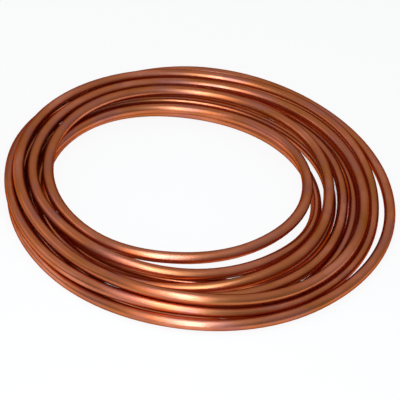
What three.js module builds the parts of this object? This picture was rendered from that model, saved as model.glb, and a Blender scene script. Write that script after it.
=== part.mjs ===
// A coil of soft drawn copper tube: one piece of round tube, wound clockwise by hand into a flat ring
// nine turns deep. The turns lie bunched on one side of the ring and fanned out on the other.
// Millimetres, +Z up. The coil lies on z = 0, with the middle of its outline over the origin.

import * as THREE from "three";

// Driving dimensions
const TUBE_OUTSIDE = 9.525; // outside diameter
const TUBE_WALL = 0.813; // wall thickness
const TURN_CLEARANCE = 0.4; // air kept between turns that lie against each other
const WINDING_RADIUS = 111.6; // from the middle of the eye to the tube's centre in lane 0
const FIRST_ANGLE = 135; // degrees round from +X where the tube starts, which is the back left
const PLACES_PER_TURN = 8; // places in each row of TURNS
const STEPS_PER_PLACE = 5; // straight lengths that stand in for the arc from one place to the next
const OUTSIDE_FACETS = 10; // facets round the tube's outside
const BORE_FACETS = 6; // facets round the bore

// Where the tube's centre lies at each eighth of a turn, as [lane, layer]. Each row is one turn, from the
// back left by way of the right and the front to the left. Lane 0 is the winding radius and layer 0 is the
// floor. One lane or one layer is a pitch, so turns that are a whole one apart lie side by side. The tube
// stops at the end of the last row, an eighth of a turn short of where it began.
const TURNS = [
  [[5.2, 0.5], [5.9, 0.1], [5.0, 0.0], [2.9, 0.3], [1.8, 0.1], [1.5, 0.0], [1.8, 0.4], [3.0, 0.9]],
  [[4.1, 0.8], [3.8, 0.4], [3.6, 0.6], [1.9, 0.7], [1.2, 1.0], [0.9, 1.0], [0.9, 0.9], [1.4, 1.0]],
  [[1.4, 0.9], [0.6, 1.0], [0.2, 1.3], [-1.4, 1.8], [-2.8, 1.7], [-2.8, 1.6], [-0.9, 1.8], [0.8, 1.9]],
  [[2.1, 2.0], [2.3, 1.8], [2.1, 1.7], [0.6, 1.4], [0.0, 1.4], [-0.5, 0.5], [0.1, 0.0], [2.3, 0.0]],
  [[3.2, 0.2], [2.7, 0.3], [2.5, 0.1], [0.9, 0.2], [-0.3, 0.2], [-1.6, 0.2], [-0.9, 0.0], [1.2, 0.0]],
  [[2.1, 0.0], [1.2, 0.1], [0.6, 0.3], [-0.3, 0.4], [-1.4, 1.0], [-1.3, 1.3], [0.3, 2.0], [2.1, 1.9]],
  [[3.3, 1.9], [4.1, 1.5], [4.7, 1.3], [3.7, 1.2], [2.6, 1.4], [1.7, 1.9], [1.9, 1.7], [3.3, 2.0]],
  [[4.8, 1.7], [5.5, 1.5], [6.1, 1.2], [4.6, 0.4], [3.0, 0.4], [2.0, 0.9], [2.9, 1.2], [4.0, 1.1]],
  [[6.1, 0.0], [7.7, 0.4], [7.1, 0.7], [6.0, 0.7], [4.0, 0.4], [2.9, 0.3], [2.9, 0.0], [3.7, 0.0]],
];

const PITCH = TUBE_OUTSIDE + TURN_CLEARANCE;

// The tube's centre line, with its length measured in places.
class WoundCentreLine extends THREE.Curve {
  constructor(places) {
    super();
    const drift = places.map(([lane, layer]) => new THREE.Vector3(lane, layer, 0));
    this.drift = new THREE.CatmullRomCurve3(drift, false, "catmullrom");
    this.spans = places.length - 1;
  }

  getPoint(t, target = new THREE.Vector3()) {
    const { x: lane, y: layer } = this.drift.getPoint(t);
    const turned = (360 * t * this.spans) / PLACES_PER_TURN;
    const angle = THREE.MathUtils.degToRad(FIRST_ANGLE - turned);
    const radius = WINDING_RADIUS + lane * PITCH;
    const height = TUBE_OUTSIDE / 2 + layer * PITCH;
    return target.set(radius * Math.cos(angle), radius * Math.sin(angle), height);
  }

  // Steps are equal in angle and not in length, so the facets of neighbouring turns line up.
  getUtoTmapping(u) {
    return u;
  }
}

function ringOfPoints(radius, count) {
  return Array.from({ length: count }, (_, k) => {
    const angle = (2 * Math.PI * k) / count;
    return new THREE.Vector2(radius * Math.cos(angle), radius * Math.sin(angle));
  });
}

// The round wall, with the bore as its hole.
function tubeSection() {
  const section = new THREE.Shape(ringOfPoints(TUBE_OUTSIDE / 2, OUTSIDE_FACETS));
  section.holes.push(new THREE.Path(ringOfPoints(TUBE_OUTSIDE / 2 - TUBE_WALL, BORE_FACETS)));
  return section;
}

function copperTube() {
  const centreLine = new WoundCentreLine(TURNS.flat());
  const steps = centreLine.spans * STEPS_PER_PLACE;
  const geometry = new THREE.ExtrudeGeometry(tubeSection(), { extrudePath: centreLine, steps });
  const copper = new THREE.MeshStandardMaterial({ color: 0xb8694a, roughness: 0.32, metalness: 1 });
  const tube = new THREE.Mesh(geometry, copper);
  tube.name = "copper_tube";
  return tube;
}

// Lays a piece on z = 0 with the middle of its outline over the origin.
function layOverOrigin(piece) {
  const box = new THREE.Box3().setFromObject(piece);
  const middle = box.getCenter(new THREE.Vector3());
  piece.position.sub(middle.setZ(box.min.z));
  return piece;
}

const coil = new THREE.Group();
coil.add(layOverOrigin(copperTube()));

export default coil;
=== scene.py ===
"""A coil of soft copper tube, about nine turns of 3/8 inch tube wound clockwise by hand.

The tube is modelled straight, with its wall and its cut ends, and then bent along the line that it is
wound on. Metres, +Z up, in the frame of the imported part.
"""

import math

import bpy
from mathutils import Matrix, Vector


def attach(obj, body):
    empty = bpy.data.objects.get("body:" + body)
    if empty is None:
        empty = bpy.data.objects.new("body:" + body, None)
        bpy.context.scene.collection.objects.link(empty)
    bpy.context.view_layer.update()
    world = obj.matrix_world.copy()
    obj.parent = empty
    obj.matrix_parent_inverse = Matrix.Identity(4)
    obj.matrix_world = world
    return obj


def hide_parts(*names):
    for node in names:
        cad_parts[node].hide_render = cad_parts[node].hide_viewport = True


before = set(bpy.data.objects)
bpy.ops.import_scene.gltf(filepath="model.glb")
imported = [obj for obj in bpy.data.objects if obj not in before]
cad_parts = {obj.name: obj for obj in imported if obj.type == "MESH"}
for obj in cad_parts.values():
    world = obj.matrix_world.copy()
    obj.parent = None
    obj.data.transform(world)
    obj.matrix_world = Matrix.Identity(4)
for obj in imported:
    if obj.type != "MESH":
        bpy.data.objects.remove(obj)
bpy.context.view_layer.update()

MM = 0.001

# The tube and its winding, as in the part.
TUBE_OUTSIDE = 9.525 * MM
TUBE_WALL = 0.813 * MM
TURN_CLEARANCE = 0.4 * MM  # air kept between turns that lie against each other
CUT_ROLL_IN = 0.3 * MM  # how far a tube cutter presses the rim in
CUT_ROLL_LENGTH = 0.7 * MM
PITCH = TUBE_OUTSIDE + TURN_CLEARANCE
WINDING_RADIUS = 111.6 * MM
FIRST_ANGLE = math.radians(135)  # the back left

# [lane, layer] at each eighth of a turn, from the back left by way of the right and the front to the left.
# Lane 0 is the winding radius, layer 0 is the floor, and one lane or layer is a pitch. Most of these numbers
# were found by a fitting program and rounded to a tenth. They weren't chosen by hand.
TURNS = [
    [[5.2, 0.5], [5.9, 0.1], [5.0, 0.0], [2.9, 0.3], [1.8, 0.1], [1.5, 0.0], [1.8, 0.4], [3.0, 0.9]],
    [[4.1, 0.8], [3.8, 0.4], [3.6, 0.6], [1.9, 0.7], [1.2, 1.0], [0.9, 1.0], [0.9, 0.9], [1.4, 1.0]],
    [[1.4, 0.9], [0.6, 1.0], [0.2, 1.3], [-1.4, 1.8], [-2.8, 1.7], [-2.8, 1.6], [-0.9, 1.8], [0.8, 1.9]],
    [[2.1, 2.0], [2.3, 1.8], [2.1, 1.7], [0.6, 1.4], [0.0, 1.4], [-0.5, 0.5], [0.1, 0.0], [2.3, 0.0]],
    [[3.2, 0.2], [2.7, 0.3], [2.5, 0.1], [0.9, 0.2], [-0.3, 0.2], [-1.6, 0.2], [-0.9, 0.0], [1.2, 0.0]],
    [[2.1, 0.0], [1.2, 0.1], [0.6, 0.3], [-0.3, 0.4], [-1.4, 1.0], [-1.3, 1.3], [0.3, 2.0], [2.1, 1.9]],
    [[3.3, 1.9], [4.1, 1.5], [4.7, 1.3], [3.7, 1.2], [2.6, 1.4], [1.7, 1.9], [1.9, 1.7], [3.3, 2.0]],
    [[4.8, 1.7], [5.5, 1.5], [6.1, 1.2], [4.6, 0.4], [3.0, 0.4], [2.0, 0.9], [2.9, 1.2], [4.0, 1.1]],
    [[6.1, 0.0], [7.7, 0.4], [7.1, 0.7], [6.0, 0.7], [4.0, 0.4], [2.9, 0.3], [2.9, 0.0], [3.7, 0.0]],
]
PLACES_PER_TURN = 8

# How finely the smooth tube is made.
SIDES = 32
STEPS_PER_PLACE = 16
LENGTHWISE_CUTS = 31  # made in each of two rounds, so the tube has 32 x 32 lengths
CUT_ROUNDS = 2
SHARP_ANGLE = math.radians(40)  # keeps the edges of the cut ends crisp


# ---------------------------------------------------------------- the line that the tube is wound on


def eased(a, b, c, d, t):
    """A value between b and c, a share t of the way, on the smooth curve that passes through all four."""
    slope_b, slope_c = (c - a) / 2, (d - b) / 2
    cubic = 2 * b - 2 * c + slope_b + slope_c
    square = -3 * b + 3 * c - 2 * slope_b - slope_c
    return ((cubic * t + square) * t + slope_b) * t + b


def wound_line():
    """Points along the middle of the tube, about the coil's own axis."""
    places = [Vector(p) for turn in TURNS for p in turn]
    before, after = 2 * places[0] - places[1], 2 * places[-1] - places[-2]
    run = [before, *places, after]
    points = []
    for i in range(len(places) - 1):
        last = i == len(places) - 2
        for k in range(STEPS_PER_PLACE + last):
            t = k / STEPS_PER_PLACE
            lane, layer = (eased(*(p[n] for p in run[i : i + 4]), t) for n in (0, 1))
            angle = FIRST_ANGLE - (i + t) * 2 * math.pi / PLACES_PER_TURN
            radius = WINDING_RADIUS + lane * PITCH
            height = TUBE_OUTSIDE / 2 + layer * PITCH
            points.append(Vector((radius * math.cos(angle), radius * math.sin(angle), height)))
    return points


def way_to_the_part(points):
    """How far the line moves to lie where the part lies: its outline's middle over the origin, and its
    lowest turn on the floor."""
    spans = [(min(p[n] for p in points), max(p[n] for p in points)) for n in range(3)]
    return Vector((-sum(spans[0]) / 2, -sum(spans[1]) / 2, TUBE_OUTSIDE / 2 - spans[2][0]))


def length_of(points):
    return sum((b - a).length for a, b in zip(points, points[1:]))


def guide_curve(points):
    """A line for the Curve modifier to bend the straight tube along."""
    curve = bpy.data.curves.new("winding", "CURVE")
    curve.dimensions = "3D"
    curve.twist_mode = "Z_UP"
    line = curve.splines.new("POLY")
    line.points.add(len(points) - 1)
    for place, p in zip(line.points, points):
        place.co = (*p, 1)
    guide = bpy.data.objects.new("winding", curve)
    bpy.context.collection.objects.link(guide)
    return guide


# ---------------------------------------------------------------- modelling


def select_only(piece):
    for other in bpy.context.selected_objects:
        other.select_set(False)
    piece.select_set(True)
    bpy.context.view_layer.objects.active = piece


def choose_edges(piece, wanted):
    """Selects the edges that pass a test on their two ends' places."""
    mesh = piece.data
    bpy.ops.object.mode_set(mode="EDIT")
    bpy.ops.mesh.select_mode(type="EDGE")
    bpy.ops.mesh.select_all(action="DESELECT")
    bpy.ops.object.mode_set(mode="OBJECT")
    for edge in mesh.edges:
        a, b = (mesh.vertices[v].co for v in edge.vertices)
        edge.select = wanted(a, b)
    bpy.ops.object.mode_set(mode="EDIT")


def apply_modifier(piece, name, kind, **settings):
    select_only(piece)
    modifier = piece.modifiers.new(name, kind)
    for key, value in settings.items():
        setattr(modifier, key, value)
    bpy.ops.object.modifier_apply(modifier=modifier.name)


def draw_out(length, widening):
    """Extrudes the open ring of edges along the tube, and makes its far end wider or narrower."""
    bpy.ops.mesh.extrude_region_move(TRANSFORM_OT_translate={"value": (length, 0, 0)})
    bpy.ops.transform.resize(value=(1, widening, widening))


def straight_tube(length):
    """The tube before it is wound. A ring is extruded along +X, with its ends rolled in a little as a
    tube cutter leaves them, and is then cut into short lengths and given its wall."""
    cut_radius = TUBE_OUTSIDE / 2 - CUT_ROLL_IN
    bpy.ops.mesh.primitive_circle_add(
        vertices=SIDES, radius=cut_radius, fill_type="NOTHING", rotation=(0, math.pi / 2, 0)
    )
    tube = bpy.context.object
    tube.name = tube.data.name = "wound_copper_tube"
    bpy.ops.object.transform_apply(location=True, rotation=True, scale=True)
    select_only(tube)
    widening = TUBE_OUTSIDE / 2 / cut_radius
    bpy.ops.object.mode_set(mode="EDIT")
    bpy.ops.mesh.select_all(action="SELECT")
    draw_out(CUT_ROLL_LENGTH, widening)
    draw_out(length - 2 * CUT_ROLL_LENGTH, 1)
    draw_out(CUT_ROLL_LENGTH, 1 / widening)
    bpy.ops.object.mode_set(mode="OBJECT")
    for _ in range(CUT_ROUNDS):
        choose_edges(tube, lambda a, b: abs(a.x - b.x) > CUT_ROLL_LENGTH * 2)  # all but the rolled-in rims
        bpy.ops.mesh.subdivide(number_cuts=LENGTHWISE_CUTS)
        bpy.ops.object.mode_set(mode="OBJECT")
    bpy.ops.object.mode_set(mode="EDIT")
    bpy.ops.mesh.select_all(action="SELECT")
    bpy.ops.mesh.normals_make_consistent(inside=False)
    bpy.ops.object.mode_set(mode="OBJECT")
    apply_modifier(tube, "wall", "SOLIDIFY", thickness=TUBE_WALL, offset=-1)
    return tube


def keep_straight_places(tube):
    """Keeps where each point lies on the straight tube, for a finish that follows it once it is wound."""
    mesh = tube.data
    straight = mesh.attributes.new("straight", "FLOAT_VECTOR", "POINT")
    for place, vertex in zip(straight.data, mesh.vertices):
        place.vector = vertex.co


def wound_tube(points):
    tube = straight_tube(length_of(points))
    keep_straight_places(tube)
    guide = guide_curve(points)
    apply_modifier(tube, "winding", "CURVE", object=guide, deform_axis="POS_X")
    bpy.data.objects.remove(guide)
    select_only(tube)
    bpy.ops.object.shade_smooth_by_angle(angle=SHARP_ANGLE)
    return tube


# ---------------------------------------------------------------- materials

TARNISH_PER_METRE = 18  # clouds about 55 mm long
MARKS_PER_METRE = 90  # handling marks about 11 mm across and 30 mm long
LINES_PER_METRE = 900  # die lines about 1.1 mm apart, where real ones are much finer
LINE_DEPTH = 0.05 * MM
LINE_STRENGTH = 0.15
COPPER_TONES = {0.3: "#B36937", 0.5: "#CA744C", 0.7: "#E08A6C"}  # by the value of the tarnish's noise
ROUGH, SMOOTH = 0.3, 0.26  # where the tarnish is dark, and where it is pale
HANDLED_TONE = "#BA6F5B"  # pinkish, where hands have dulled it
HANDLED_ROUGHNESS = 0.08  # added in the handling marks
COLOUR_CHANGES = (0.5, 0.68)  # from which value of the marks' noise a mark takes its colour, and fully
ROUGHNESS_CHANGES = (0.55, 0.75)  # and its roughness
GRAZING_TINT = "#855A45"  # holds back the pale rim that metal shows where it turns away


def linear(code):
    """An sRGB hex colour as the linear colour that a shader takes."""

    def channel(value):
        return value / 12.92 if value <= 0.04045 else ((value + 0.055) / 1.055) ** 2.4

    return tuple(channel(int(code[i : i + 2], 16) / 255) for i in (1, 3, 5)) + (1,)


def add(tree, kind, links=None, values=None, **settings):
    """A node with its settings, its constant inputs and the sockets that feed it."""
    node = tree.nodes.new(kind)
    for key, value in settings.items():
        setattr(node, key, value)
    for key, value in (values or {}).items():
        node.inputs[key].default_value = value
    for key, socket in (links or {}).items():
        tree.links.new(socket, node.inputs[key])
    return node


def new_material(name):
    material = bpy.data.materials.new(name)
    material.use_nodes = True
    material.node_tree.nodes.clear()
    return material, material.node_tree


def along_the_tube(tree, scale):
    """Places on the straight tube, stretched or squeezed by a scale along it and across it."""
    straight = add(tree, "ShaderNodeAttribute", attribute_name="straight")
    return add(
        tree, "ShaderNodeVectorMath", {0: straight.outputs["Vector"]}, {1: scale}, operation="MULTIPLY"
    ).outputs["Vector"]


def spread(tree, value, low, high, start=0.35, end=0.65):
    """A value that goes from low to high as another goes from start to end."""
    return add(
        tree,
        "ShaderNodeMapRange",
        {"Value": value},
        {"From Min": start, "From Max": end, "To Min": low, "To Max": high},
    ).outputs["Result"]


def soft_annealed_copper():
    """Soft annealed copper tube, drawn through a die and annealed bright. The eye gets a warm orange-brown
    metal with a satin gloss, fine die lines along it, a cloudy tarnish and duller marks from handling."""
    material, tree = new_material("soft_annealed_copper")
    tarnish = add(
        tree,
        "ShaderNodeTexNoise",
        {"Vector": along_the_tube(tree, (1, 3, 3))},
        {"Scale": TARNISH_PER_METRE, "Detail": 4, "Roughness": 0.6},
    )
    handling = add(
        tree,
        "ShaderNodeTexNoise",
        {"Vector": along_the_tube(tree, (0.35, 1, 1))},
        {"Scale": MARKS_PER_METRE, "Detail": 2},
    )
    lines = add(
        tree,
        "ShaderNodeTexNoise",
        {"Vector": along_the_tube(tree, (0.01, 1, 1))},
        {"Scale": LINES_PER_METRE, "Detail": 2},
    )
    colour = add(tree, "ShaderNodeValToRGB", {"Fac": tarnish.outputs["Fac"]})
    stops = colour.color_ramp.elements
    stops.new(0.5)
    for stop, (position, tone) in zip(stops, COPPER_TONES.items()):
        stop.position, stop.color = position, linear(tone)
    handled = spread(tree, handling.outputs["Fac"], 0, 1, *COLOUR_CHANGES)
    worn = add(
        tree,
        "ShaderNodeMix",
        {"Factor": handled, "A": colour.outputs["Color"]},
        {"B": linear(HANDLED_TONE)},
        data_type="RGBA",
    )
    roughness = add(
        tree,
        "ShaderNodeMath",
        {
            0: spread(tree, tarnish.outputs["Fac"], ROUGH, SMOOTH),
            1: spread(tree, handling.outputs["Fac"], 0, HANDLED_ROUGHNESS, *ROUGHNESS_CHANGES),
        },
        operation="ADD",
    )
    relief = add(
        tree,
        "ShaderNodeBump",
        {"Height": lines.outputs["Fac"]},
        {"Strength": LINE_STRENGTH, "Distance": LINE_DEPTH},
    )
    shader = add(
        tree,
        "ShaderNodeBsdfPrincipled",
        {
            "Base Color": worn.outputs["Result"],
            "Roughness": roughness.outputs[0],
            "Normal": relief.outputs["Normal"],
        },
        {"Metallic": 1.0, "Specular Tint": linear(GRAZING_TINT)},
    )
    add(tree, "ShaderNodeOutputMaterial", {"Surface": shader.outputs["BSDF"]})
    return material


FLOOR_TONE = "#F4F4F4"
WHITE_SHARE = 0.9  # how much of the floor shows as plain white; the rest takes the coil's shadow
GAP_REACH = 40 * MM  # how far off a tube may be and still hide the sky from the floor
DARK_GAP, OPEN_GAP = 0.02, 0.07  # the share of sky left where a gap's floor looks dark, and where white


def white_floor_seen(tree):
    """How much of the floor is plain white: most of it in metal and through glass, and to the camera too,
    except in the narrowest gaps between tubes, where the camera sees the matt floor in shadow."""
    path = add(tree, "ShaderNodeLightPath").outputs
    sky = add(tree, "ShaderNodeAmbientOcclusion", values={"Distance": GAP_REACH}).outputs["AO"]
    white = spread(tree, sky, 0, WHITE_SHARE, DARK_GAP, OPEN_GAP)
    looked_at = add(tree, "ShaderNodeMath", {0: path["Is Camera Ray"], 1: white}, operation="MULTIPLY")
    bounced = add(
        tree,
        "ShaderNodeMath",
        {0: path["Is Glossy Ray"], 1: path["Is Transmission Ray"]},
        operation="MAXIMUM",
    )
    mirrored = add(tree, "ShaderNodeMath", {0: bounced.outputs[0]}, {1: WHITE_SHARE}, operation="MULTIPLY")
    return add(
        tree, "ShaderNodeMath", {0: looked_at.outputs[0], 1: mirrored.outputs[0]}, operation="MAXIMUM"
    ).outputs[0]


def pale_floor():
    """A matt white table top. The eye gets a white ground, with the coil's soft shadow on it."""
    material, tree = new_material("pale_floor")
    matt = add(tree, "ShaderNodeBsdfDiffuse", values={"Color": linear(FLOOR_TONE)})
    white = add(tree, "ShaderNodeEmission", values={"Color": (1, 1, 1, 1), "Strength": 1.0})
    both = add(
        tree,
        "ShaderNodeMixShader",
        {0: white_floor_seen(tree), 1: matt.outputs[0], 2: white.outputs[0]},
    )
    add(tree, "ShaderNodeOutputMaterial", {"Surface": both.outputs[0]})
    return material


# ---------------------------------------------------------------- stage, light and camera

FLOOR_SIZE = 60  # metres; wide enough that its edge stays out of a low view
BRIGHT_SIDE = (0, 0.5, 0.87)  # the way to it: overhead, and some way behind the coil
BRIGHT_LEVEL = 0.53  # the world's strength there, where 1 is white
SHADED_LEVEL = 0.23  # and where it is darkest
SHADED_BELOW, BRIGHT_ABOVE = -0.1, 0.95  # by the cosine of the angle from the bright side


def lay_floor():
    bpy.ops.mesh.primitive_plane_add(size=FLOOR_SIZE, location=(0, 0, 0))
    floor = bpy.context.object
    floor.name = "floor"
    floor.data.materials.append(pale_floor())


def light_world():
    """A dim room, brighter overhead and darkest low on the camera's side. It leaves the copper a deep brown
    that only the lamps lift."""
    world = bpy.data.worlds.new("studio")
    bpy.context.scene.world = world
    world.use_nodes = True
    tree = world.node_tree
    tree.nodes.clear()
    direction = add(tree, "ShaderNodeTexCoord").outputs["Generated"]
    towards = add(tree, "ShaderNodeVectorMath", {0: direction}, {1: BRIGHT_SIDE}, operation="DOT_PRODUCT")
    level = spread(tree, towards.outputs["Value"], SHADED_LEVEL, BRIGHT_LEVEL, SHADED_BELOW, BRIGHT_ABOVE)
    room = add(tree, "ShaderNodeBackground", {"Strength": level}, {"Color": (1, 1, 1, 1)})
    add(tree, "ShaderNodeOutputWorld", {"Surface": room.outputs[0]})


def soft_box(name, azimuth, elevation, distance, width, height, power, tone):
    """A soft lamp that looks at the coil, in degrees, metres and watts. Azimuth 0 is the camera's side,
    and 90 is +X."""
    a, e = math.radians(azimuth), math.radians(elevation)
    away = Vector((math.sin(a) * math.cos(e), -math.cos(a) * math.cos(e), math.sin(e)))
    lamp = bpy.data.lights.new(name, "AREA")
    lamp.shape = "RECTANGLE"
    lamp.size, lamp.size_y, lamp.energy = width, height, power
    lamp.color = linear(tone)[:3]
    box = bpy.data.objects.new(name, lamp)
    bpy.context.collection.objects.link(box)
    box.location = away * distance
    box.rotation_euler = (-away).to_track_quat("-Z", "Y").to_euler()


COOL = "#BFE0FF"
WARM = "#FFEBC8"
NEUTRAL = "#FFF4E8"


def light_coil():
    """Two narrow cool strips put a bright streak across the front and the back of the coil. A wider warm
    lamp gives the streak its golden left side, and a broad one lifts the left end."""
    soft_box("tall_front_light", 2.5, 30, distance=0.55, width=0.13, height=0.6, power=1.9, tone=COOL)
    soft_box("near_front_light", 2.5, 66, distance=0.55, width=0.13, height=0.4, power=0.75, tone=COOL)
    soft_box("left_light", -14, 38, distance=0.6, width=0.22, height=0.7, power=0.72, tone=WARM)
    soft_box("side_light", -80, 30, distance=0.8, width=0.7, height=0.4, power=0.5, tone=NEUTRAL)


CAMERA_ELEVATION = math.radians(41.57)
CAMERA_ROLL = math.radians(7.14)
CAMERA_DISTANCE = 1.029  # metres from where the coil's own axis meets the floor
AXIS_PIXEL = (186.9, 207.4)  # where that point shows in the picture
PIXELS_PER_METRE = 1176  # at that point
PICTURE_PIXELS = 400
SENSOR_WIDTH = 36  # millimetres


def set_camera(axis):
    """Looks down at the coil from the front, turned a little so that the right side hangs lower."""
    data = bpy.data.cameras.new("camera")
    data.sensor_width = SENSOR_WIDTH
    data.lens = SENSOR_WIDTH * PIXELS_PER_METRE * CAMERA_DISTANCE / PICTURE_PIXELS
    data.shift_x = (PICTURE_PIXELS / 2 - AXIS_PIXEL[0]) / PICTURE_PIXELS
    data.shift_y = (AXIS_PIXEL[1] - PICTURE_PIXELS / 2) / PICTURE_PIXELS
    data.clip_end = FLOOR_SIZE
    camera = bpy.data.objects.new("camera", data)
    bpy.context.collection.objects.link(camera)
    turn = Matrix.Rotation(math.pi / 2 - CAMERA_ELEVATION, 3, "X") @ Matrix.Rotation(CAMERA_ROLL, 3, "Z")
    camera.rotation_euler = turn.to_euler()
    camera.location = axis + turn @ Vector((0, 0, CAMERA_DISTANCE))
    bpy.context.scene.camera = camera


# ---------------------------------------------------------------- the scene


line = wound_line()
axis = way_to_the_part(line)  # the coil's own axis, which the line is drawn about
tube = wound_tube([p + axis for p in line])
tube.data.materials.append(soft_annealed_copper())
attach(tube, "root")
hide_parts("copper_tube")

lay_floor()
light_world()
light_coil()
set_camera(axis)

bpy.context.scene.view_settings.view_transform = "Standard"
